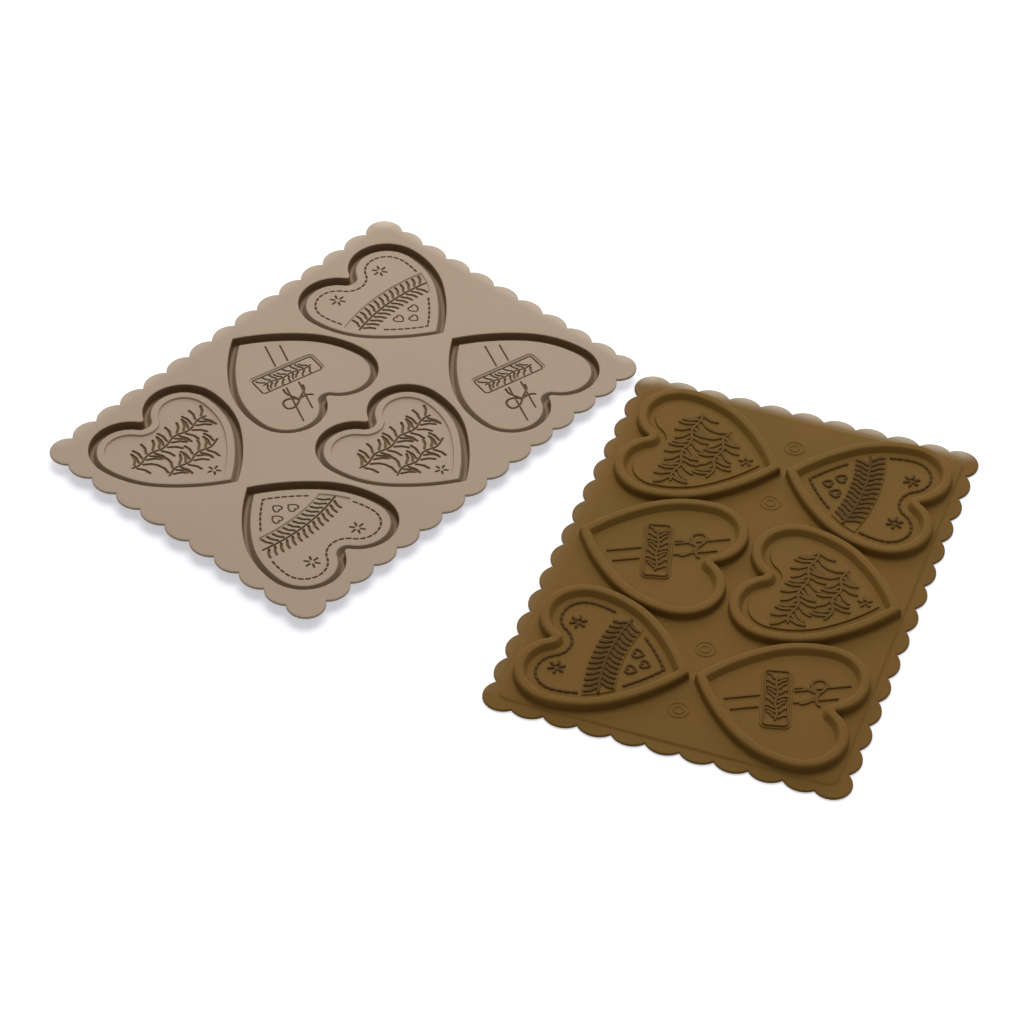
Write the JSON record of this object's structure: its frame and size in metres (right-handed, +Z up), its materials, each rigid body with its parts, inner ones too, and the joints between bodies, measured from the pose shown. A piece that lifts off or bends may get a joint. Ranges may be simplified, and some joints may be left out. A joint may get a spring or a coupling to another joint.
{
  "type": "silicone cookie mold",
  "caption": "Pair of thin scalloped silicone mats with shallow heart-shaped cookie cavities, one lying cavities up and one face down.",
  "frame": {"origin": "middle of the pair in plan, on the surface that both mats lie on", "axes": "+Z up; +X along the long side of the mat with its cavities up; +Y from the face-down mat towards it"},
  "size_m": [0.3018, 0.4164, 0.0065],
  "materials": {
    "silicone_taupe": "satin moulded silicone, light taupe",
    "silicone_brown": "satin moulded silicone, golden brown"
  },
  "bodies": {
    "first_mat": {"mat_cavities_up": "silicone_taupe"},
    "second_mat": {"mat_face_down": "silicone_brown"}
  },
  "joints": [
    {"name": "face_down_mat_lift", "type": "slide", "parent": "first_mat", "child": "second_mat", "axis": [0, 0, 1], "range_m": [0, 0.08]}
  ]
}
